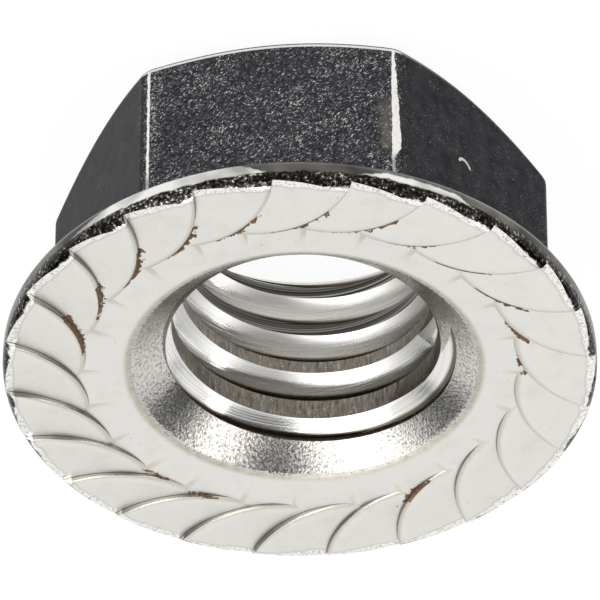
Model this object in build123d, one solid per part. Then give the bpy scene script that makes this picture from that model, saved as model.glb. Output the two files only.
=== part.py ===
from build123d import *
import math
import os

# Serrated flange nut with a 3/8-16 UNC thread, in millimetres.
# The hex end stands on Z = 0, the serrated bearing face looks up, and Z is the axis of the thread.

# Hexagon
ACROSS_FLATS = 14.1
EDGE_ROUND = 0.25
CHAMFER_ANGLE = 30.0
CHAMFER_CIRCLE = 12.9

# Flange
FLANGE_DIAMETER = 19.0
OVERALL_HEIGHT = 8.38
RIM_THICKNESS = 0.95
RIM_ROUND = 0.4
BACK_SLOPE = 25.0
NECK_ROUND = 0.25

# Bore, at the minor diameter of the thread
BORE_DIAMETER = 8.1
MOUTH_DIAMETER = 11.3
MOUTH_ANGLE = 90.0
LIP_ROUND = 0.6
THROAT_ROUND = 0.8
HEX_END_MOUTH = 10.76

# Serration: overlapping round scales, each tilted so that the edge that bites stands proud.
# The ramp falls towards FALL_TURN degrees from the outward direction at the middle of the scale.
TOOTH_COUNT = 24
TOOTH_HEIGHT = 0.25
TOOTH_INNER_DIAMETER = 13.8
TOOTH_ARC_RADIUS = 3.7
TOOTH_RAMP_ANGLE = 6.0
TOOTH_FALL_TURN = 60.0
SHOULDER_WIDTH = 0.35
SHOULDER_DROP = 0.18
TOOTH_START = 3.0

RING_Z = OVERALL_HEIGHT - TOOTH_HEIGHT
RIM_BACK_Z = OVERALL_HEIGHT - RIM_THICKNESS
RIM_RADIUS = FLANGE_DIAMETER / 2
BORE_RADIUS = BORE_DIAMETER / 2
CLEAR = 2.0  # how far a cutting shape runs past the metal


def turned(points, rounds):
    """Revolve a half section about Z, with a round on each named corner."""
    section = make_face(Polyline(*[(r, z) for r, z in points], close=True))
    for (r, z), radius in rounds:
        corner = section.vertices().sort_by_distance((r, z))[0]
        section = fillet(corner, radius)
    return revolve(Plane.XZ * section, Axis.Z)


def hexagon():
    """The wrenching hexagon with rounded edges and the chamfer on its free end."""
    corner_radius = ACROSS_FLATS / math.sqrt(3)
    top = RING_Z - (RING_Z - RIM_BACK_Z) / 2
    prism = extrude(RegularPolygon(corner_radius, 6), top)
    prism = fillet(prism.edges().filter_by(Axis.Z), EDGE_ROUND)
    start = CHAMFER_CIRCLE / 2
    far = corner_radius + CLEAR
    rise = (far - start) * math.tan(math.radians(CHAMFER_ANGLE))
    limit = turned([(0, 0), (start, 0), (far, rise), (far, top + CLEAR), (0, top + CLEAR)], [])
    return prism & limit


def flange():
    """The round flange: full height at the teeth, a sloping back and a rim rounded on both sides."""
    drop = RIM_RADIUS * math.tan(math.radians(BACK_SLOPE))
    half_way = RIM_ROUND * (1 - math.cos(math.pi / 4))
    back_corner = (RIM_RADIUS, RIM_BACK_Z)
    # The front round is two cones, because the teeth cut through it.
    points = [
        (0, OVERALL_HEIGHT),
        (RIM_RADIUS - RIM_ROUND, OVERALL_HEIGHT),
        (RIM_RADIUS - half_way, OVERALL_HEIGHT - half_way),
        (RIM_RADIUS, OVERALL_HEIGHT - RIM_ROUND),
        back_corner,
        (0, RIM_BACK_Z - drop),
    ]
    return turned(points, [(back_corner, RIM_ROUND)])


def blank():
    """Hexagon and flange in one solid, with a round in the neck between them."""
    body = hexagon() + flange()
    neck = [edge for edge in body.edges() if on_neck(edge)]
    return fillet(neck, NECK_ROUND)


def on_neck(edge):
    """True for an edge where the side of the hexagon meets the sloping back."""
    middle = edge @ 0.5
    reach = math.hypot(middle.X, middle.Y)
    slope_z = RIM_BACK_Z - (RIM_RADIUS - reach) * math.tan(math.radians(BACK_SLOPE))
    return abs(middle.Z - slope_z) < 0.01 and reach < ACROSS_FLATS / math.sqrt(3) + 0.01


def scale():
    """One tooth: a round scale with a sloping shoulder, tilted about its centre."""
    disc = Cylinder(TOOTH_ARC_RADIUS, CLEAR, align=(Align.CENTER, Align.CENTER, Align.MAX))
    top_edge = disc.edges().group_by(Axis.Z)[-1]
    disc = chamfer(top_edge, SHOULDER_DROP, SHOULDER_WIDTH)
    tilted = Rot(0, 0, TOOTH_FALL_TURN) * Rot(0, TOOTH_RAMP_ANGLE, 0) * disc
    lift = (TOOTH_ARC_RADIUS - SHOULDER_WIDTH) * math.sin(math.radians(TOOTH_RAMP_ANGLE))
    centre = TOOTH_INNER_DIAMETER / 2 + TOOTH_ARC_RADIUS
    return Pos(centre, 0, OVERALL_HEIGHT - lift) * tilted


def hollow():
    """What is taken out: the bore, both mouths and the space above the bearing ring."""
    slope = math.tan(math.radians(MOUTH_ANGLE / 2))
    mouth = MOUTH_DIAMETER / 2
    throat_z = RING_Z - (mouth - BORE_RADIUS) / slope
    hex_mouth = HEX_END_MOUTH / 2
    hex_throat_z = (hex_mouth - BORE_RADIUS) / slope
    lip = (mouth, RING_Z)
    throat = (BORE_RADIUS, throat_z)
    far = RIM_RADIUS + CLEAR
    points = [
        (0, -CLEAR),
        (hex_mouth + CLEAR * slope, -CLEAR),
        (BORE_RADIUS, hex_throat_z),
        throat,
        lip,
        (far, RING_Z),
        (far, OVERALL_HEIGHT + CLEAR),
        (0, OVERALL_HEIGHT + CLEAR),
    ]
    return turned(points, [(lip, LIP_ROUND), (throat, THROAT_ROUND)])


def flange_nut():
    """The whole nut in one solid."""
    turns = [TOOTH_START + 360 * n / TOOTH_COUNT for n in range(TOOTH_COUNT)]
    teeth = [Rot(0, 0, turn) * scale() for turn in turns]
    return blank() - (hollow() - teeth)


os.makedirs("parts", exist_ok=True)
export_step(flange_nut(), "parts/flange_nut.step")
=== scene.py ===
import math
import random

import bpy
from mathutils import Matrix, Vector


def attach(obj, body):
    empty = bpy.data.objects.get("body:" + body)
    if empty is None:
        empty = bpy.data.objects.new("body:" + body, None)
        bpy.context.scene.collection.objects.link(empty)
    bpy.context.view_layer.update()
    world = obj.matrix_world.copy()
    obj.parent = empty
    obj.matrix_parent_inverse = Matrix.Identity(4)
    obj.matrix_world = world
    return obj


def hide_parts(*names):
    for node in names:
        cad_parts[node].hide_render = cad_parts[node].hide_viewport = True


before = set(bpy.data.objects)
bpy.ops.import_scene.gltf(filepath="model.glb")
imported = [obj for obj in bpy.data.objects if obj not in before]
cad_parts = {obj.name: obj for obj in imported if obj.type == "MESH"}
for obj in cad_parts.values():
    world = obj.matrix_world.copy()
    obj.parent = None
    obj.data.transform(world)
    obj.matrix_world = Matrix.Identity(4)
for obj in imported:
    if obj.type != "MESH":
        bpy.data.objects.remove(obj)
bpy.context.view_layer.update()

# Serrated flange nut, cold formed in steel, with a 3/8-16 UNC thread.
# The nut is modelled in millimetres and made metres at the end.

MM = 0.001

# Hexagon
ACROSS_FLATS = 14.1
HEX_CORNER_RADIUS = ACROSS_FLATS / math.sqrt(3)
HEX_TURN = 60  # degrees from one side to the next
HEX_EDGE_ROUND = 0.5
HEX_CHAMFER_RADIUS = 6.45
HEX_CHAMFER_SLOPE = math.tan(math.radians(30))
HEX_END_ROUND = 0.4

# Flange
RIM_RADIUS = 9.5
RIM_BACK_Z = 7.43
RIM_ROUND = 0.4
RIM_FRONT_ROUND = 0.35
BACK_ANGLE = 25
BACK_SLOPE = math.tan(math.radians(BACK_ANGLE))
NECK_ROUND = 0.25
OVERALL_HEIGHT = 8.38

# Bore and mouths
RING_Z = 8.13
BORE_RADIUS = 4.05
MOUTH_RADIUS = 5.65
LIP_ROUND = 0.6
LIP_WIDTH = 0.3
HEX_MOUTH_RADIUS = 5.38
# Radius and height down the throat, from the foot of the cone to the first turn of the thread
THROAT = ((4.46, 7.11), (4.34, 7.0), (4.28, 6.88), (4.28, 5.5), (4.0, 5.2))
THROAT_DRIFT = Vector((0.09, -0.01, 0))  # the foot of the cone stands off the axis of the bore
BORE_OFFSET = Vector((-0.16, -0.105, 0))  # the bore stands a little off the middle of the flange

# Thread
PITCH = 1.5875
LAND_WIDTH = 0.46
ROOT_WIDTH = 0.18
THREAD_SLOPE = math.tan(math.radians(30))
THREAD_TURNS = 8
TURNS_BELOW = 5
LAND_CENTRE_Z = 4.74
LAND_CENTRE_ANGLE = math.radians(82.3)

# Serration: overlapping round scales, each tilted, of which only the part that shows is kept
TOOTH_COUNT = 24
SCALE_RADIUS = 3.7
SCALE_INNER = 6.9
SCALE_CENTRE = SCALE_INNER + SCALE_RADIUS
SCALE_TILT = math.radians(6)
SCALE_FALL_TURN = math.radians(60)
SCALE_CUTS = (((-0.4, 0, 0), (1, 0, 0)), ((0, 0.7, 0), (0, 1, 0)))  # a place and what is beyond it
SHOULDER_WIDTH = 0.4
SHOULDER_DROP = 0.09
TOOTH_START = math.radians(3)
TOOTH_STEP = math.tau / TOOTH_COUNT
TOOTH_SPREAD = (0.3, 0.05, 0.015)  # how far a tooth is out of place: degrees, outwards and up

# Residue: tooth number and how far out from the middle it runs along that tooth's root
RESIDUE = {
    3: 7.1, 4: 7.15, 8: 7.5, 12: 7.2, 13: 7.4, 14: 7.8, 15: 7.8, 16: 7.75,
    17: 8.15, 18: 8.2, 19: 7.8, 20: 7.9, 21: 7.9, 22: 7.75, 23: 7.9,
}
RESIDUE_LEAST, RESIDUE_MOST = 6.5, 8.5
ROOT_LEAD = math.radians(3)  # how far past a tooth's own line its root is followed

# Knocks in the rim: angle, height, length round the rim and depth
NICKS = (
    (35.3, 8.32, 0.35, 0.16), (12, 8.2, 0.3, 0.05), (63, 8.3, 0.25, 0.06),
    (88, 8.25, 0.4, 0.05), (117, 8.33, 0.3, 0.08), (146, 8.2, 0.35, 0.05),
    (171, 8.28, 0.3, 0.07), (196, 8.1, 0.45, 0.06), (214, 8.3, 0.3, 0.07),
    (233, 8.0, 0.3, 0.05), (246, 8.25, 0.25, 0.06), (259, 7.95, 0.35, 0.05),
    (268, 8.2, 0.2, 0.05), (277, 8.1, 0.3, 0.06), (291, 8.3, 0.3, 0.06),
    (306, 8.0, 0.35, 0.05), (322, 8.2, 0.3, 0.07), (343, 8.3, 0.35, 0.06),
)
NICK_ROUGHNESS = 0.12
NICK_HEIGHT = 0.6  # of its length

# A curved scratch on one side of the hexagon: its middle, its radius and half its width
CRESCENT = (-5.83, -4.0, 3.62)
CRESCENT_RADIUS = 0.3
CRESCENT_HALF_WIDTH = 0.05

# Mesh
TURN_STEPS = 192
SCALE_STEPS = 144
THREAD_STEPS = 144
EDGE_SEGMENTS = 4
RING_SEGMENTS = 6
SMOOTH_ANGLE = math.radians(28)
CLEAR = 2.0  # how far a cutting shape runs past the metal
MERGE = 0.0003  # vertices this near to each other are one
NEAR = 0.01  # a point this near to a line is on it
FACING_UP = 0.95  # a face whose normal rises by more than this is part of the bearing face

# Camera, in degrees and millimetres
CAMERA_AZIMUTH = -97.7
CAMERA_ELEVATION = 39.92
CAMERA_ROLL = 180.09
CAMERA_DISTANCE = 236.6
CAMERA_LENS = 439.35
CAMERA_AIM_Z = 4.114
CAMERA_RAISE = 0.7965  # how far it moves up in its own picture, without turning

# Black cards and softboxes round the nut, in metres and watts:
# azimuth from the camera, elevation, roll, width, height, and the power of a softbox
CARDS = (
    ("card_high", -38, 66, 25, 0.32, 0.26),
    ("card_camera", -12.5, 42, 0, 0.245, 0.22),
    ("card_side", -92, 28, 0, 0.46, 0.3),
    ("card_other_side", 103, 26, 0, 0.4, 0.3),
)
CARD_DISTANCE = 0.5
SOFTBOXES = (
    ("softbox_over", 90, 72.5, 0, 0.24, 0.3, 0.6),
    ("softbox_strip", -82, 61, 0, 0.12, 0.12, 0.2),
    ("softbox_near", -55, 42, 0, 0.45, 0.26, 1.05),
    ("softbox_far", 37, 45, 0, 0.47, 0.36, 1.45),
)
SOFTBOX_DISTANCE = 0.6
FLOOR_SIZE = 6
FLOOR_GLOW = 0.94  # the share of the floor's white that no lamp gives; the rest keeps the shadow


# ---------------------------------------------------------------- modelling

def only(piece):
    """Make this the one selected and active object."""
    bpy.ops.object.select_all(action="DESELECT")
    piece.select_set(True)
    bpy.context.view_layer.objects.active = piece


def edit(piece):
    """Open the piece in edit mode with nothing selected."""
    only(piece)
    bpy.ops.object.mode_set(mode="EDIT")
    bpy.ops.mesh.select_all(action="DESELECT")


def done():
    """Close edit mode."""
    bpy.ops.object.mode_set(mode="OBJECT")


def select(piece, kind, test):
    """In edit mode, select the vertices whose place, or the edges whose two ends, pass the test."""
    bpy.ops.mesh.select_mode(type=kind)
    bpy.ops.mesh.select_all(action="DESELECT")
    done()
    mesh = piece.data
    if kind == "VERT":
        for vertex in mesh.vertices:
            vertex.select = test(vertex.co)
    if kind == "EDGE":
        for edge in mesh.edges:
            a, b = (mesh.vertices[i].co for i in edge.vertices)
            edge.select = test(a, b)
    bpy.ops.object.mode_set(mode="EDIT")


def drawn(name, points, closed=False):
    """Draw a line through (r, z) points in the XZ plane, one extruded vertex after another."""
    bpy.ops.object.select_all(action="DESELECT")
    bpy.ops.mesh.primitive_plane_add(size=1, location=(0, 0, 0))
    piece = bpy.context.active_object
    piece.name = name
    edit(piece)
    # One corner of the plane is left, and moves to the first point
    select(piece, "VERT", lambda co: co.x < 0 or co.y < 0)
    bpy.ops.mesh.delete(type="VERT")
    bpy.ops.mesh.select_all(action="SELECT")
    r, z = points[0]
    bpy.ops.transform.translate(value=(r - 0.5, -0.5, z))
    for (r0, z0), (r1, z1) in zip(points, points[1:]):
        bpy.ops.mesh.extrude_region_move(TRANSFORM_OT_translate={"value": (r1 - r0, 0, z1 - z0)})
    if closed:
        ends = [Vector((r, 0, z)) for r, z in (points[0], points[-1])]
        select(piece, "VERT", lambda co: min((co - end).length for end in ends) < NEAR)
        bpy.ops.mesh.edge_face_add()
    done()
    return piece


def turned(name, points, rounds=(), steps=TURN_STEPS):
    """Spin a half section that starts and ends on Z, then round its rings."""
    piece = drawn(name, points)
    edit(piece)
    bpy.ops.mesh.select_all(action="SELECT")
    bpy.ops.mesh.spin(steps=steps, angle=math.tau, center=(0, 0, 0), axis=(0, 0, 1))
    bpy.ops.mesh.select_all(action="SELECT")
    bpy.ops.mesh.remove_doubles(threshold=MERGE)
    bpy.ops.mesh.normals_make_consistent(inside=False)
    done()
    for ring in rounds:
        round_ring(piece, *ring)
    return piece


def round_ring(piece, r, z, radius, bend):
    """Round one ring of edges."""

    def on_ring(a, b):
        return all(
            abs(p.z - z) < 2 * NEAR and abs(math.hypot(p.x, p.y) - r) < 2 * NEAR for p in (a, b)
        )

    round_edges(piece, on_ring, radius, bend, RING_SEGMENTS)


def round_edges(piece, test, radius, bend, segments=EDGE_SEGMENTS):
    """Round the edges that pass the test. Bend is the angle in degrees between their two faces."""
    edit(piece)
    select(piece, "EDGE", test)
    bpy.ops.mesh.bevel(
        offset_type="OFFSET",
        offset=radius * math.tan(math.radians(bend) / 2),
        segments=segments,
        profile=0.5,
        clamp_overlap=False,
    )
    done()


def combine(piece, tool, operation):
    """Join, cut or limit the piece with a tool, and remove the tool."""
    only(piece)
    boolean = piece.modifiers.new("combine", "BOOLEAN")
    boolean.operation = operation
    boolean.solver = "EXACT"
    boolean.object = tool
    boolean.use_self = tool.get("overlaps", False)
    boolean.material_mode = "TRANSFER"
    bpy.ops.object.modifier_apply(modifier=boolean.name)
    bpy.data.objects.remove(tool)
    edit(piece)
    bpy.ops.mesh.select_all(action="SELECT")
    bpy.ops.mesh.remove_doubles(threshold=MERGE)
    bpy.ops.mesh.dissolve_degenerate(threshold=MERGE)
    bpy.ops.mesh.delete_loose(use_verts=True, use_edges=True, use_faces=False)
    done()


def joined(pieces, overlaps):
    """One object that holds all these, which may overlap each other."""
    bpy.ops.object.select_all(action="DESELECT")
    for piece in pieces:
        piece.select_set(True)
    bpy.context.view_layer.objects.active = pieces[0]
    bpy.ops.object.join()
    pieces[0]["overlaps"] = overlaps
    return pieces[0]


def placed(piece, matrix):
    """Put the piece where the matrix says, with its place in its mesh."""
    piece.matrix_world = matrix
    only(piece)
    bpy.ops.object.transform_apply(location=True, rotation=True, scale=True)
    return piece


def finish(piece, name, test=None):
    """Give the faces whose middle and normal pass the test a material, by its name."""
    material = bpy.data.materials.get(name) or bpy.data.materials.new(name)
    piece.data.materials.append(material)
    slot = len(piece.data.materials) - 1
    for face in piece.data.polygons:
        if test is None or test(face.center, face.normal):
            face.material_index = slot


def within(radius):
    """A test for faces nearer to Z than this."""
    return lambda centre, normal: math.hypot(centre.x, centre.y) < radius


# ---------------------------------------------------------------- the nut

def hexagon():
    """The wrenching hexagon, with the chamfer on its free end."""
    height = (RING_Z + RIM_BACK_Z) / 2
    bpy.ops.object.select_all(action="DESELECT")
    bpy.ops.mesh.primitive_cylinder_add(
        vertices=6,
        radius=HEX_CORNER_RADIUS,
        depth=height,
        location=(0, 0, height / 2),
        rotation=(0, 0, math.pi / 6),
    )
    piece = bpy.context.active_object
    piece.name = "hexagon"
    placed(piece, piece.matrix_world.copy())
    round_edges(piece, lambda a, b: abs(a.z - b.z) > 1, HEX_EDGE_ROUND, HEX_TURN)
    finish(piece, "tumbled_steel")
    far = HEX_CORNER_RADIUS + CLEAR
    rise = (far - HEX_CHAMFER_RADIUS) * HEX_CHAMFER_SLOPE
    top = height + CLEAR
    points = [(0, 0), (HEX_CHAMFER_RADIUS, 0), (far, rise), (far, top), (0, top)]
    combine(piece, turned("chamfer", points), "INTERSECT")
    round_edges(piece, is_at_chamfer, HEX_END_ROUND, HEX_TURN)
    finish(piece, "tumbled_steel")
    return piece


def is_at_chamfer(a, b):
    """True for an edge where the chamfer cuts the sides of the hexagon."""
    for point in (a, b):
        out = math.hypot(point.x, point.y) - HEX_CHAMFER_RADIUS
        if out < 10 * NEAR or abs(point.z - out * HEX_CHAMFER_SLOPE) > NEAR / 2:
            return False
    return True


def flange():
    """The round flange with its rounded rim and sloping back."""
    points = [
        (0, RIM_BACK_Z - RIM_RADIUS * BACK_SLOPE),
        (RIM_RADIUS, RIM_BACK_Z),
        (RIM_RADIUS, OVERALL_HEIGHT),
        (0, OVERALL_HEIGHT),
    ]
    rounds = [
        (RIM_RADIUS, RIM_BACK_Z, RIM_ROUND, 90 - BACK_ANGLE),
        (RIM_RADIUS, OVERALL_HEIGHT, RIM_FRONT_ROUND, 90),
    ]
    piece = turned("flange", points, rounds)
    finish(piece, "rolled_steel")
    finish(piece, "pressed_steel", lambda centre, normal: normal.z > FACING_UP)
    return piece


def blank():
    """Hexagon and flange in one piece, with a round in the neck between them."""
    piece = flange()
    combine(piece, hexagon(), "UNION")
    round_edges(piece, is_in_neck, NECK_ROUND, 90 - BACK_ANGLE)
    return piece


def is_in_neck(a, b):
    """True for an edge where the side of the hexagon meets the sloping back of the flange."""
    for point in (a, b):
        r = math.hypot(point.x, point.y)
        slope_z = RIM_BACK_Z - (RIM_RADIUS - r) * BACK_SLOPE
        if abs(point.z - slope_z) > NEAR or not ACROSS_FLATS / 2 - NEAR < r < HEX_CORNER_RADIUS:
            return False
    return True


def scale():
    """One tooth: a round scale with a soft shoulder, tilted about its centre."""
    flat = SCALE_RADIUS - SHOULDER_WIDTH
    shoulder = []
    for n in range(1, RING_SEGMENTS + 1):
        turn = math.radians(90 / RING_SEGMENTS * n)
        r = flat + SHOULDER_WIDTH * math.sin(turn)
        shoulder.append((r, -SHOULDER_DROP * (1 - math.cos(turn))))
    points = [(0, 0), (flat, 0), *shoulder, (SCALE_RADIUS, -CLEAR), (0, -CLEAR)]
    disc = turned("scale", points, steps=SCALE_STEPS)
    finish(disc, "pressed_steel")
    edit(disc)
    for place, beyond in SCALE_CUTS:
        bpy.ops.mesh.select_all(action="SELECT")
        bpy.ops.mesh.bisect(plane_co=place, plane_no=beyond, use_fill=True, clear_outer=True)
    done()
    lift = flat * math.sin(SCALE_TILT)
    fall = Vector((math.cos(SCALE_FALL_TURN), math.sin(SCALE_FALL_TURN), 0))
    tilt = Matrix.Rotation(SCALE_TILT, 4, Vector((0, 0, 1)).cross(fall))
    return placed(disc, Matrix.Translation((SCALE_CENTRE, 0, OVERALL_HEIGHT - lift)) @ tilt)


def scales():
    """All the teeth, copied round the axis, each a little out of place."""
    chance = random.Random(5)
    turned_by, out_by, up_by = TOOTH_SPREAD
    first = scale()
    pieces = []
    for n in range(TOOTH_COUNT):
        piece = first.copy()
        piece.data = first.data.copy()
        bpy.context.collection.objects.link(piece)
        slip = math.radians(chance.uniform(-turned_by, turned_by))
        turn = Matrix.Rotation(TOOTH_START + TOOTH_STEP * n + slip, 4, "Z")
        shift = (chance.uniform(-out_by, out_by), 0, chance.uniform(-up_by, up_by))
        pieces.append(placed(piece, turn @ Matrix.Translation(shift)))
    bpy.data.objects.remove(first)
    return joined(pieces, True)


def hollow():
    """What is taken out: the bore, both mouths and the space above the bearing ring."""
    top = OVERALL_HEIGHT + CLEAR
    points = [
        (0, -CLEAR),
        (HEX_MOUTH_RADIUS + CLEAR, -CLEAR),
        (BORE_RADIUS, HEX_MOUTH_RADIUS - BORE_RADIUS),
        (BORE_RADIUS, top),
        (0, top),
    ]
    piece = turned("hollow", points)
    finish(piece, "countersunk_steel")
    finish(piece, "drilled_steel", within(BORE_RADIUS + NEAR))
    combine(piece, mouth(), "UNION")
    placed(piece, Matrix.Translation(BORE_OFFSET))
    combine(piece, scales(), "DIFFERENCE")
    return piece


def mouth():
    """The countersink with its rounded lip, the throat below it and the space above the ring."""
    far = RIM_RADIUS + CLEAR
    top = OVERALL_HEIGHT + CLEAR
    foot, foot_z = THROAT[0]
    bend = math.degrees(math.atan2(RING_Z - foot_z, MOUTH_RADIUS - foot))
    points = [
        (0, THROAT[-1][1]),
        *reversed(THROAT),
        (MOUTH_RADIUS, RING_Z),
        (far, RING_Z),
        (far, top),
        (0, top),
    ]
    piece = turned("mouth", points, [(MOUTH_RADIUS, RING_Z, LIP_ROUND, bend)])
    finish(piece, "pressed_steel")
    finish(piece, "countersunk_steel", within(MOUTH_RADIUS + LIP_WIDTH))
    finish(piece, "drilled_steel", within(foot - 2 * NEAR))
    edit(piece)
    select(piece, "VERT", lambda co: abs(co.z - foot_z) < NEAR)
    bpy.ops.transform.translate(value=THROAT_DRIFT)
    done()
    return piece


def thread():
    """The space that the tap cuts: the groove's section, screwed along the axis."""
    half_mouth = (PITCH - LAND_WIDTH) / 2
    half_root = ROOT_WIDTH / 2
    root_radius = BORE_RADIUS + (half_mouth - half_root) / THREAD_SLOPE
    inside = BORE_RADIUS - CLEAR / 4
    points = [
        (inside, -half_mouth),
        (BORE_RADIUS, -half_mouth),
        (root_radius, -half_root),
        (root_radius, half_root),
        (BORE_RADIUS, half_mouth),
        (inside, half_mouth),
    ]
    piece = drawn("thread", points, closed=True)
    screw = piece.modifiers.new("screw", "SCREW")
    screw.axis = "Z"
    screw.angle = math.tau
    screw.screw_offset = PITCH
    screw.iterations = THREAD_TURNS
    screw.steps = screw.render_steps = THREAD_STEPS
    screw.use_merge_vertices = True
    only(piece)
    bpy.ops.object.modifier_apply(modifier=screw.name)
    edit(piece)
    bpy.ops.mesh.select_all(action="SELECT")
    bpy.ops.mesh.remove_doubles(threshold=MERGE)
    bpy.ops.mesh.select_all(action="SELECT")
    bpy.ops.mesh.fill_holes(sides=0)
    bpy.ops.mesh.select_all(action="SELECT")
    bpy.ops.mesh.normals_make_consistent(inside=False)
    done()
    finish(piece, "tapped_steel")
    start = LAND_CENTRE_Z + PITCH / 2 - TURNS_BELOW * PITCH
    place = Matrix.Translation(BORE_OFFSET + Vector((0, 0, start)))
    return placed(piece, place @ Matrix.Rotation(LAND_CENTRE_ANGLE, 4, "Z"))


def nicks():
    """Small knocks in the rim, each a rough lump pressed into it."""
    pieces = []
    for number, (angle, height, length, depth) in enumerate(NICKS):
        bpy.ops.object.select_all(action="DESELECT")
        bpy.ops.mesh.primitive_ico_sphere_add(subdivisions=2, radius=0.5)
        piece = bpy.context.active_object
        edit(piece)
        bpy.ops.mesh.select_all(action="SELECT")
        bpy.ops.transform.vertex_random(offset=NICK_ROUGHNESS, seed=number)
        bpy.ops.transform.resize(value=(2 * depth, length, NICK_HEIGHT * length))
        done()
        finish(piece, "rolled_steel")
        turn = Matrix.Rotation(math.radians(angle), 4, "Z")
        pieces.append(placed(piece, turn @ Matrix.Translation((RIM_RADIUS, 0, height))))
    return joined(pieces, False)


def flange_nut():
    """The whole nut."""
    piece = blank()
    for tool in (nicks, hollow, thread):
        combine(piece, tool(), "DIFFERENCE")
    piece.name = "serrated_flange_nut"
    piece.data.name = piece.name
    placed(piece, Matrix.Scale(MM, 4))
    only(piece)
    bpy.ops.object.shade_smooth_by_angle(angle=SMOOTH_ANGLE)
    flat_faces = piece.modifiers.new("flat_faces", "WEIGHTED_NORMAL")
    flat_faces.keep_sharp = True
    bpy.ops.object.modifier_apply(modifier=flat_faces.name)
    return piece


# ---------------------------------------------------------------- materials

def colour(code):
    """An sRGB hex colour as a linear one."""
    channels = [int(code[i:i + 2], 16) / 255 for i in (1, 3, 5)]
    linear = [c / 12.92 if c <= 0.04045 else ((c + 0.055) / 1.055) ** 2.4 for c in channels]
    return (*linear, 1)


def add(tree, kind, inputs=(), stops=(), **settings):
    """Add a node with its settings, the values or links of its inputs and the stops of its ramp.

    The inputs go by name, or in the order of the sockets in use. A hex colour may stand for any
    value. Gives the first output in use.
    """
    new = tree.nodes.new("ShaderNode" + kind)
    for name, value in settings.items():
        setattr(new, name, value)
    if not isinstance(inputs, dict):
        inputs = dict(zip([n for n, socket in enumerate(new.inputs) if socket.enabled], inputs))
    for socket, value in inputs.items():
        if isinstance(value, bpy.types.NodeSocket):
            tree.links.new(value, new.inputs[socket])
        else:
            new.inputs[socket].default_value = colour(value) if isinstance(value, str) else value
    for n, (place, shade) in enumerate(stops):
        elements = new.color_ramp.elements
        stop = elements[n] if n < len(elements) else elements.new(place)
        stop.position = place
        stop.color = colour(shade) if isinstance(shade, str) else shade
    return next(socket for socket in new.outputs if socket.enabled)


def begin(name):
    """Open a steel's node tree. Gives its shader, and places in millimetres and directions."""
    material = bpy.data.materials[name]
    material.use_nodes = True
    tree = material.node_tree
    shader = tree.nodes["Principled BSDF"]
    shader.inputs["Metallic"].default_value = 1
    source = add(tree, "TexCoord").node.outputs
    to_mm = (1 / MM, 1 / MM, 1 / MM)
    mm = add(tree, "Mapping", {"Vector": source["Object"], "Scale": to_mm})
    from_bore = add(tree, "VectorMath", (mm, BORE_OFFSET), operation="SUBTRACT")
    from_bore = add(tree, "VectorMath", (from_bore, (1, 1, 0)), operation="MULTIPLY")
    from_middle = add(tree, "VectorMath", (mm, (1, 1, 0)), operation="MULTIPLY")
    where = add(tree, "SeparateXYZ", (mm,)).node.outputs
    facing = add(tree, "SeparateXYZ", (source["Normal"],)).node.outputs
    places = {
        "mm": mm,
        "radius": add(tree, "VectorMath", (from_bore,), operation="LENGTH"),
        "reach": add(tree, "VectorMath", (from_middle,), operation="LENGTH"),
        "x": where["X"],
        "y": where["Y"],
        "height": where["Z"],
        "facing_x": facing["X"],
        "facing_y": facing["Y"],
        "facing_up": facing["Z"],
    }
    return tree, shader, places


def grain(tree, places, size, detail=4, stretch=(1, 1, 1), turn=(0, 0, 0), shift=0):
    """Noise with blotches of this size in millimetres, stretched along turned axes."""
    laid = {
        "Vector": places["mm"],
        "Location": (shift, shift, shift),
        "Rotation": turn,
        "Scale": [size * part for part in stretch],
    }
    laid = add(tree, "Mapping", laid, vector_type="TEXTURE")
    return add(tree, "TexNoise", {"Vector": laid, "Scale": 1, "Detail": detail, "Roughness": 0.6})


def turned_lines(tree, places, fineness):
    """Lines round the axis, this many to the millimetre."""
    across = add(tree, "Math", (places["radius"], places["height"]), operation="ADD")
    across = add(tree, "Math", (across, fineness), operation="MULTIPLY")
    across = add(tree, "CombineXYZ", (across,))
    return add(tree, "TexNoise", {"Vector": across, "Scale": 1, "Detail": 5})


def ragged(tree, value, noise, amount):
    """The value, moved by a noise by this much either way, so that what it borders is ragged."""
    shift = add(tree, "MapRange", (noise, 0.3, 0.7, -amount, amount))
    return add(tree, "Math", (value, shift), operation="ADD")


def where_all(tree, share, *others):
    """A share that is high only where all of these are."""
    for other in others:
        share = add(tree, "Math", (share, other), operation="MULTIPLY")
    return share


def layered(tree, base, *coats):
    """The base colour with coats laid over it in order, each a share and a colour."""
    for share, shade in coats:
        base = add(tree, "Mix", (share, base, shade), data_type="RGBA")
    return base


def dress(tree, shader, base, roughness, height, depth):
    """Give the shader its colour, its roughness and a relief of this depth in millimetres."""
    bump = add(tree, "Bump", {"Height": height, "Distance": depth * MM})
    tree.links.new(base, shader.inputs["Base Color"])
    tree.links.new(bump, shader.inputs["Normal"])
    if isinstance(roughness, bpy.types.NodeSocket):
        tree.links.new(roughness, shader.inputs["Roughness"])
    else:
        shader.inputs["Roughness"].default_value = roughness


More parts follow.
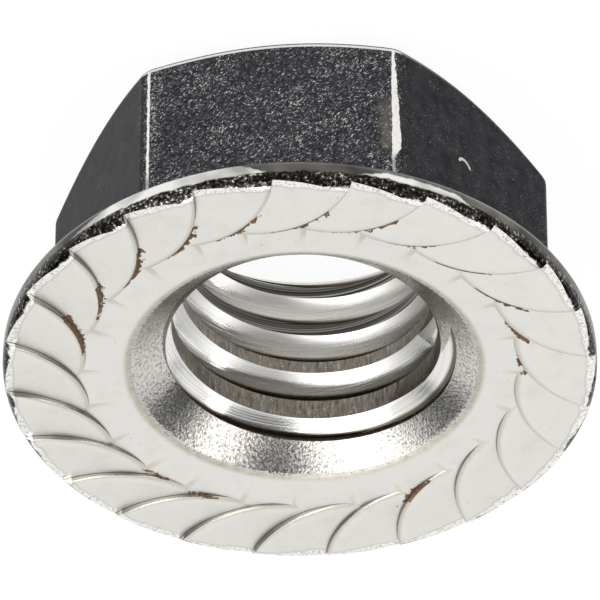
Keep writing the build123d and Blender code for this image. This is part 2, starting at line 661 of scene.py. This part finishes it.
def tumbled_steel():
    """Cold-formed steel tumbled with its neighbours.

    It looks dark because its greys are a painted dark reflection. It has fine flecks and dashes,
    and its edges are worn bright and carry a painted highlight. The flecks are
    0.06 mm and the dashes 0.035 to 0.045 mm wide, three and a half times as long.
    """
    tree, shader, places = begin("tumbled_steel")
    fine = grain(tree, places, 0.06, detail=8, stretch=(1.8, 1, 1), turn=(0, -0.75, 0))
    # Painted dark reflection: the dark greys of this ramp and the next, flecked on the -Y side and
    # plain elsewhere
    flecked = ((0.4, "#2b2b2e"), (0.54, "#404044"), (0.64, "#5c5c60"), (0.74, "#9c9c9e"))
    flecked = add(tree, "ValToRGB", (fine,), flecked)
    cloud = grain(tree, places, 0.5, detail=8)
    smooth = add(tree, "ValToRGB", (cloud,), ((0.35, "#2c2c2f"), (0.65, "#3e3e41")))
    near_side = add(tree, "MapRange", (places["y"], -6.9, -6.98))
    base = layered(tree, smooth, (near_side, flecked))

    patches = grain(tree, places, 0.8, shift=3)
    torn = grain(tree, places, 0.25, detail=8, shift=8)
    sparse = add(tree, "MapRange", (near_side, 0, 1, 0.055, 0))
    from_edge = distance_from_edge(tree, places)
    crowd = add(tree, "MapRange", (from_edge, 0.55, 0.35, 0, 0.03))
    for turn, size, shift in ((-0.75, 0.045, 0), (-1.1, 0.035, 5), (0.5, 0.035, 9)):
        turn = (0, turn, 0)
        dashes = grain(tree, places, size, 1, (3.5, 1, 1), turn, shift)
        dashes = add(tree, "Math", (dashes, sparse), operation="SUBTRACT")
        dashes = ragged(tree, dashes, patches, 0.04)
        dashes = add(tree, "Math", (dashes, crowd), operation="ADD")
        base = layered(tree, base, (add(tree, "MapRange", (dashes, 0.68, 0.75)), "#d3d2d0"))

    # A rubbed patch beside the torn edge
    patch = add(tree, "MapRange", (ragged(tree, from_edge, torn, 0.2), 0.62, 0.5))
    side = add(tree, "MapRange", (places["x"], 0, -1))
    above = add(tree, "MapRange", (places["height"], 2.8, 3.6, 0, 0.45))
    below = add(tree, "MapRange", (places["height"], 5.4, 5.1))
    patch = where_all(tree, patch, where_all(tree, near_side, side), above, below)

    # Painted highlight and wear: the bright lines on the rounds of the edges
    edges = (upright_edge(tree, places, torn), free_end_edge(tree, places))
    edges = add(tree, "Math", edges, operation="MAXIMUM")
    rubbed_and_highlit = add(tree, "ValToRGB", (fine,), ((0.3, "#c9c5be"), (0.45, "#f2f0ec")))
    crescent = crescent_scratch(tree, places, torn)
    base = layered(tree, base, (crescent, "#d3d2d0"), (patch, "#77746a"), (edges, rubbed_and_highlit))
    # A dimmer sheen at a glancing angle, as on a face knocked rough
    shader.inputs["Specular Tint"].default_value = (0.55, 0.55, 0.55, 1)
    dress(tree, shader, base, 0.3, fine, 0.003)


def distance_from_edge(tree, places):
    """How far a place on a side of the hexagon is from the corner beside it, in millimetres."""
    along = add(tree, "Math", (places["reach"], 2), operation="POWER")
    along = add(tree, "Math", (along, (ACROSS_FLATS / 2) ** 2), operation="SUBTRACT")
    along = add(tree, "Math", (along,), operation="SQRT")
    return add(tree, "Math", (HEX_CORNER_RADIUS / 2, along), operation="SUBTRACT")


def crescent_scratch(tree, places, torn):
    """The curved scratch: half a ring round its middle."""
    away = add(tree, "VectorMath", (places["mm"], CRESCENT), operation="DISTANCE")
    away = ragged(tree, away, torn, 0.02)
    away = add(tree, "Math", (away, CRESCENT_RADIUS), operation="SUBTRACT")
    away = add(tree, "Math", (away,), operation="ABSOLUTE")
    ring = add(tree, "Math", (away, CRESCENT_HALF_WIDTH), operation="LESS_THAN")
    half = add(tree, "Math", (places["height"], CRESCENT[2] - 0.1), operation="LESS_THAN")
    return where_all(tree, ring, half)


def upright_edge(tree, places, torn):
    """Where the round of an upright edge is worn bright and carries a painted highlight.

    It is a thin line beside the -Y side, and at one edge it widens to a wedge.
    """
    turn = (places["facing_y"], places["facing_x"])
    turn = add(tree, "Math", turn, operation="ARCTAN2")
    turn = add(tree, "Math", (turn, math.radians(HEX_TURN)), operation="DIVIDE")
    turn = add(tree, "Math", (turn, 0.5), operation="ADD")
    turn = add(tree, "Math", (turn,), operation="FRACT")
    right = add(tree, "Math", (places["x"], 0), operation="GREATER_THAN")
    across = add(tree, "Math", (turn, right), operation="SUBTRACT")
    across = add(tree, "Math", (across,), operation="ABSOLUTE")
    across = ragged(tree, across, torn, 0.05)

    rising = add(tree, "MapRange", (places["height"], 1.2, 4.8, 0, 0.36))
    ending = add(tree, "MapRange", (places["height"], 5.5, 5.1))
    side = add(tree, "MapRange", (places["x"], -3, -3.5))
    front = add(tree, "MapRange", (places["y"], -6, -6.5))
    wedge = where_all(tree, rising, ending, where_all(tree, side, front))

    start = add(tree, "Math", (0.62, wedge), operation="SUBTRACT")
    inner = add(tree, "Math", (across, start), operation="GREATER_THAN")
    outer = add(tree, "Math", (across, 0.79), operation="LESS_THAN")
    fading = add(tree, "MapRange", (places["height"], 5.7, 5.3, 0.35, 1))
    aside = add(tree, "Math", (places["x"],), operation="ABSOLUTE")
    aside = add(tree, "Math", (aside, 6), operation="LESS_THAN")
    upright = add(tree, "Math", (places["facing_up"],), operation="ABSOLUTE")
    upright = add(tree, "MapRange", (upright, 0.4, 0.2))
    return where_all(tree, inner, outer, fading, aside, upright)


def free_end_edge(tree, places):
    """Where the round at the free end is worn bright and carries a painted highlight, most of all
    on the -Y side.
    """
    steeper = add(tree, "MapRange", (places["facing_up"], -0.1, -0.2))
    flatter = add(tree, "MapRange", (places["facing_up"], -0.5, -0.42))
    side = add(tree, "MapRange", (places["facing_y"], -0.5, -0.75, 0.1, 1))
    end = add(tree, "MapRange", (places["height"], 3, 2.9))
    return where_all(tree, steeper, flatter, side, end)


def rolled_steel():
    """The flange's rim and back, as rolled out by the press, coloured with painted reflections.

    Its round has a pale painted reflection above a ragged border and a darker one below it, then a
    dark speckled stripe of painted dark reflection and a painted highlight as a bright ragged line
    before the face. Its back has the hexagon's painted dark. The speckles are drawn at 0.1 mm,
    coarser than the real ones, so that they show.
    """
    tree, shader, places = begin("rolled_steel")
    fine = grain(tree, places, 0.1, detail=8)
    torn = grain(tree, places, 0.5, detail=8)
    along = grain(tree, places, 2.2, detail=2, shift=2)
    level = ragged(tree, places["height"], torn, 0.06)

    # The round: a painted bright reflection above a border that stands higher or lower along the
    # rim, a painted dark reflection below it
    border = (
        add(tree, "MapRange", (places["x"], -3.9, -2.9, 7.66, 7.95)),
        add(tree, "MapRange", (places["x"], 0.8, -0.3, 7.4, 7.95)),
    )
    border = add(tree, "Math", border, operation="MINIMUM")
    for start, end in ((4.5, 6.5), (-5.4, -6.4)):
        raised = add(tree, "MapRange", (places["x"], start, end, 7.4, 7.95))
        border = add(tree, "Math", (border, raised), operation="MAXIMUM")
    below = add(tree, "Math", (level, border), operation="SUBTRACT")
    below = add(tree, "MapRange", (below, 0.04, -0.04))
    bright = add(tree, "ValToRGB", (along,), ((0.36, "#a8a69f"), (0.5, "#eeede9")))
    dull = add(tree, "ValToRGB", (along,), ((0.4, "#3c3a36"), (0.6, "#6f6c66")))
    # Painted highlight: a bright line just before the face
    painted_highlight_line = add(tree, "MapRange", (level, 8.26, 8.3))

    # Painted dark reflection: a dark speckled stripe round the rim
    painted_dark_band = where_all(
        tree,
        add(tree, "MapRange", (level, 7.86, 7.92)),
        add(tree, "MapRange", (level, 8.35, 8.32)),
    )
    crowd = grain(tree, places, 1.2, detail=2, shift=6)
    crowd = add(tree, "MapRange", (crowd, 0.4, 0.65, -0.05, 0.04))
    crowd = add(tree, "Math", (fine, crowd), operation="ADD")
    speckled = ((0.42, "#141312"), (0.52, "#35322e"), (0.6, "#6d6b66"), (0.66, "#e6e4de"))
    speckled = add(tree, "ValToRGB", (crowd,), speckled)
    # The back takes the same painted dark as the hexagon
    back = add(tree, "MapRange", (places["facing_up"], -0.62, -0.72))
    dark = add(tree, "ValToRGB", (fine,), ((0.4, "#2b2b2e"), (0.6, "#55555a")))
    base = layered(tree, bright, (below, dull), (painted_highlight_line, "#f2f1ee"), (painted_dark_band, speckled), (back, dark))
    dress(tree, shader, base, 0.25, fine, 0.01)


def pressed_steel():
    """The bearing face, coined smooth and plated.

    It is pale and satin, with painted shade that makes it beige on the soft shoulders and grey on
    steeper walls, painted shade in the tooth roots and in a thin line near the rim, a painted
    highlight on the rim's edge, and brown residue in the tooth roots. Its
    grain is drawn at 0.09 mm, coarser than the real one, so that it shows.
    """
    tree, shader, places = begin("pressed_steel")
    cloud = grain(tree, places, 0.8, detail=6)
    fine = grain(tree, places, 0.09, detail=6, shift=4)
    slope = ragged(tree, places["facing_up"], fine, 0.006)
    # Painted shade: the steeper the face, the darker it is painted, beige on the shoulders and grey
    # on the walls
    base = (
        (0.0, "#8f8e89"), (0.6, "#a5a39d"), (0.93, "#c3c0b6"),
        (0.982, "#cdcabf"), (0.992, "#dbd9d3"), (1.0, "#dedcd8"),
    )
    base = add(tree, "ValToRGB", (slope,), base)
    clouds = add(tree, "MapRange", (cloud, 0.5, 0.8, 0, 0.35))
    specks = grain(tree, places, 0.1, detail=2, shift=7)
    specks = add(tree, "MapRange", (specks, 0.74, 0.77))

    brink = ragged(tree, places["reach"], cloud, 0.08)
    # Painted shade: a thin grey line near the rim
    painted_crease_shade = where_all(
        tree,
        add(tree, "MapRange", (brink, 9.1, 9.16, 0, 0.35)),
        add(tree, "MapRange", (brink, 9.2, 9.17)),
    )
    # Painted highlight: the rim's edge is painted near white beyond the brink
    beyond = add(tree, "MapRange", (brink, 9.18, 9.22))
    edge = ((0.32, "#8d8b85"), (0.44, "#dddbd4"), (0.56, "#f0efeb"))
    edge = add(tree, "ValToRGB", (fine,), edge)
    # Painted shade: darker in the hollows at the tooth roots, from ambient occlusion
    painted_corner_shade = add(tree, "AmbientOcclusion", {"Distance": 0.07 * MM}, samples=8)
    painted_corner_shade = add(tree, "MapRange", (painted_corner_shade.node.outputs["AO"], 0.74, 0.52, 0, 0.85))

    brown = residue(tree, places)
    rust = ((0.35, "#2e2115"), (0.5, "#503a25"), (0.65, "#735a3e"))
    rust = add(tree, "ValToRGB", (grain(tree, places, 0.08, detail=6),), rust)
    base = layered(
        tree, base, (clouds, "#c4c1b8"), (specks, "#5a534b"), (painted_crease_shade, "#a5a298"),
        (beyond, edge), (painted_corner_shade, "#4b4840"), (brown, rust),
    )
    metal = add(tree, "MapRange", (brown, 0, 1, 1, 0))
    tree.links.new(metal, shader.inputs["Metallic"])
    satin = add(tree, "MapRange", (slope, FACING_UP, 0.99, 0.24, 0.42))
    dull = add(tree, "MapRange", (brown, 0, 1, 0, 0.85))
    roughness = add(tree, "Math", (satin, dull), operation="MAXIMUM")
    dress(tree, shader, base, roughness, fine, 0.005)


def residue(tree, places):
    """Where brown residue lies: a torn line along the root of each tooth that has some."""
    outside, run = tooth_root(tree, places)
    torn = grain(tree, places, 0.26, detail=3, shift=11)
    spread = add(tree, "MapRange", (torn, 0.35, 0.65, -0.11, 0.11))
    outer = add(tree, "Math", (outside, spread), operation="ADD")
    outer = add(tree, "MapRange", (outer, 0.13, 0.12))
    inner = add(tree, "MapRange", (outside, -0.08, -0.06))
    reach = add(tree, "Math", (places["reach"], spread), operation="ADD")
    end = add(tree, "Math", (reach, run), operation="LESS_THAN")
    start = add(tree, "Math", (reach, SCALE_INNER + 0.05), operation="GREATER_THAN")
    return where_all(tree, outer, inner, end, start)


def tooth_root(tree, places):
    """How far a place lies outside the next tooth's edge, and how far that tooth's residue runs."""
    turn = add(tree, "Math", (places["y"], places["x"]), operation="ARCTAN2")
    turn = add(tree, "Math", (turn, ROOT_LEAD - TOOTH_START), operation="ADD")
    count = add(tree, "Math", (turn, TOOTH_STEP), operation="DIVIDE")
    left = add(tree, "Math", (count,), operation="FRACT")
    left = add(tree, "Math", (1, left), operation="SUBTRACT")
    left = add(tree, "Math", (left, TOOTH_STEP), operation="MULTIPLY")
    lean = add(tree, "Math", (left, ROOT_LEAD), operation="ADD")
    lean = add(tree, "Math", (lean,), operation="COSINE")

    # The distance from the middle of that tooth's scale, by the rule of cosines
    square = add(tree, "Math", (places["reach"], 2), operation="POWER")
    square = add(tree, "Math", (square, SCALE_CENTRE ** 2), operation="ADD")
    lean = add(tree, "Math", (places["reach"], lean), operation="MULTIPLY")
    lean = add(tree, "Math", (lean, 2 * SCALE_CENTRE), operation="MULTIPLY")
    away = add(tree, "Math", (square, lean), operation="SUBTRACT")
    away = add(tree, "Math", (away,), operation="SQRT")
    outside = add(tree, "Math", (away, SCALE_RADIUS), operation="SUBTRACT")

    number = add(tree, "Math", (count,), operation="FLOOR")
    number = add(tree, "Math", (number, 1), operation="ADD")
    number = add(tree, "Math", (number, TOOTH_COUNT), operation="FLOORED_MODULO")
    number = add(tree, "Math", (number, 0.5), operation="ADD")
    share = add(tree, "Math", (number, TOOTH_COUNT), operation="DIVIDE")
    table = add(tree, "ValToRGB", (share,), residue_stops())
    table.node.color_ramp.interpolation = "CONSTANT"
    run = add(tree, "MapRange", (table, 0, 1, RESIDUE_LEAST, RESIDUE_MOST))
    return outside, run


def residue_stops():
    """The residue of each tooth as the stops of a ramp, from none to the most."""
    stops = []
    for n in range(TOOTH_COUNT):
        run = (RESIDUE.get(n, RESIDUE_LEAST) - RESIDUE_LEAST) / (RESIDUE_MOST - RESIDUE_LEAST)
        stops.append((n / TOOTH_COUNT, (run, run, run, 1)))
    return stops


def countersunk_steel():
    """The mouth, cut by a countersink: fine torn grain of 0.09 mm that glints, and a smooth lip."""
    tree, shader, places = begin("countersunk_steel")
    torn = grain(tree, places, 0.09, detail=8)
    glint = ((0.32, "#7d7a74"), (0.44, "#bcb9b3"), (0.54, "#d8d6d1"))
    glint = add(tree, "ValToRGB", (torn,), glint)
    lip = grain(tree, places, 0.2, detail=6)
    lip = add(tree, "ValToRGB", (lip,), ((0.35, "#aeaa9e"), (0.6, "#c2beb3")))
    flat = add(tree, "MapRange", (places["facing_up"], FACING_UP, 1.0))
    inside = ragged(tree, places["radius"], torn, 0.08)
    inside = add(tree, "MapRange", (inside, MOUTH_RADIUS - 0.06, MOUTH_RADIUS - 0.1))
    base = layered(tree, lip, (flat, "#dddcd6"), (inside, glint))
    roughness = add(tree, "MapRange", (inside, 0, 1, 0.4, 0.2))
    dress(tree, shader, base, roughness, where_all(tree, torn, inside), 0.012)


def drilled_steel():
    """What is left of the drilled wall: dull and pitted, and polished further in, where dark and
    bright turned lines are a painted reflection.

    Its marks along the axis are 0.09 mm wide and its pits 0.06 mm.
    """
    tree, shader, places = begin("drilled_steel")
    marks = grain(tree, places, 0.09, detail=6, stretch=(1, 1, 5))
    dull = ((0.28, "#3a3731"), (0.4, "#6f695f"), (0.6, "#8d877d"), (0.74, "#b9b5ad"))
    dull = add(tree, "ValToRGB", (marks,), dull)
    pits = add(tree, "MapRange", (grain(tree, places, 0.06, shift=6), 0.62, 0.7))
    # Painted reflection: further in, the wall is painted dark with bright turned lines
    polished_painted_reflection = ((0.36, "#1f1e1c"), (0.5, "#45423e"), (0.66, "#b9b7b2"))
    polished_painted_reflection = add(tree, "ValToRGB", (turned_lines(tree, places, 12),), polished_painted_reflection)
    deep = add(tree, "MapRange", (places["height"], 4.6, 3.8))
    base = layered(tree, dull, (pits, "#d8d5ce"), (deep, polished_painted_reflection))
    dress(tree, shader, base, 0.3, marks, 0.006)


def tapped_steel():
    """The thread's flanks, cut by a tap: bright, with painted shade at the root.

    Turned lines smear what the flanks reflect. They are drawn thirty to the millimetre, coarser
    than the tap's, so that they show.
    """
    tree, shader, places = begin("tapped_steel")
    lines = turned_lines(tree, places, 30)
    bright = ((0.26, "#6b6964"), (0.38, "#cfcdc9"), (0.52, "#ecebe8"))
    bright = add(tree, "ValToRGB", (lines,), bright)
    # Painted shade: darker in the groove's root
    root = add(tree, "MapRange", (places["radius"], 4.7, 4.78))
    base = layered(tree, bright, (root, "#6a6155"))
    roughness = add(tree, "MapRange", (places["radius"], 4.3, 4.45, 0.3, 0.11))
    dress(tree, shader, base, roughness, lines, 0.005)


# ---------------------------------------------------------------- studio

def studio():
    """A plain pale floor, soft light from all round, and cards and softboxes for the metal."""
    floor()
    world = bpy.data.worlds.new("studio")
    bpy.context.scene.world = world
    world.use_nodes = True
    background = world.node_tree.nodes["Background"]
    background.inputs["Color"].default_value = (1, 1, 1, 1)
    background.inputs["Strength"].default_value = 1.0

    card = bpy.data.materials.new("black_card")
    card.use_nodes = True
    black = card.node_tree.nodes["Principled BSDF"]
    black.inputs["Base Color"].default_value = colour("#0c0c0c")
    black.inputs["Roughness"].default_value = 1
    for name, azimuth, elevation, roll, width, height in CARDS:
        bpy.ops.mesh.primitive_plane_add(size=1)
        plane = bpy.context.active_object
        plane.name = name
        plane.scale = (width, height, 1)
        stand(plane, azimuth, elevation, roll, CARD_DISTANCE)
        plane.data.materials.append(card)
        plane.visible_camera = False
        plane.visible_diffuse = False
        plane.visible_shadow = False
    for name, azimuth, elevation, roll, width, height, power in SOFTBOXES:
        lamp = bpy.data.lights.new(name, "AREA")
        lamp.shape = "RECTANGLE"
        lamp.size = width
        lamp.size_y = height
        lamp.energy = power
        box = bpy.data.objects.new(name, lamp)
        bpy.context.collection.objects.link(box)
        stand(box, azimuth, elevation, roll, SOFTBOX_DISTANCE)


def floor():
    """White paper, which the camera and the metal see as white and which keeps the shadow."""
    bpy.ops.object.select_all(action="DESELECT")
    bpy.ops.mesh.primitive_plane_add(size=FLOOR_SIZE, location=(0, 0, 0))
    piece = bpy.context.active_object
    piece.name = "floor"
    material = bpy.data.materials.new("white_paper")
    material.use_nodes = True
    tree = material.node_tree
    paper = tree.nodes["Principled BSDF"]
    paper.inputs["Base Color"].default_value = colour("#ffffff")
    paper.inputs["Roughness"].default_value = 0.9
    rays = add(tree, "LightPath").node.outputs
    seen = rays["Is Camera Ray"]
    for other in ("Is Glossy Ray", "Is Transmission Ray"):
        seen = add(tree, "Math", (seen, rays[other]), operation="MAXIMUM")
    share = add(tree, "Math", (seen, FLOOR_GLOW), operation="MULTIPLY")
    glow = add(tree, "Emission", ("#ffffff", 1))
    mixed = add(tree, "MixShader", (share, paper.outputs[0], glow))
    tree.links.new(mixed, tree.nodes["Material Output"].inputs["Surface"])
    piece.data.materials.append(material)


def stand(thing, azimuth, elevation, roll, distance):
    """Stand a lamp or card round the nut, facing it.

    Azimuth is from the camera, anticlockwise from above.
    """
    around = math.radians(CAMERA_AZIMUTH + azimuth)
    up = math.radians(elevation)
    across = math.cos(up)
    way = Vector((across * math.cos(around), across * math.sin(around), math.sin(up)))
    thing.location = way * distance
    thing.rotation_euler = way.to_track_quat("Z", "Y").to_euler()
    thing.rotation_euler.rotate_axis("Z", math.radians(roll))


def camera():
    """A long lens close to the nut, held upside down, so that the hexagon is at the top."""
    around = Matrix.Rotation(math.radians(CAMERA_AZIMUTH + 90), 4, "Z")
    turn = around @ Matrix.Rotation(math.radians(90 - CAMERA_ELEVATION), 4, "X")
    place = turn.to_3x3() @ Vector((0, CAMERA_RAISE, CAMERA_DISTANCE))
    place.z += CAMERA_AIM_Z
    roll = Matrix.Rotation(math.radians(CAMERA_ROLL), 4, "Z")
    data = bpy.data.cameras.new("camera")
    data.lens = CAMERA_LENS
    data.sensor_width = 36
    view = bpy.data.objects.new("camera", data)
    view.matrix_world = Matrix.Translation(place * MM) @ turn @ roll
    bpy.context.collection.objects.link(view)
    bpy.context.scene.camera = view


nut = flange_nut()
for make in (
    tumbled_steel, rolled_steel, pressed_steel, countersunk_steel, drilled_steel, tapped_steel,
):
    make()
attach(nut, "root")
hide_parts("flange_nut")
studio()
camera()
bpy.context.scene.view_settings.view_transform = "Standard"
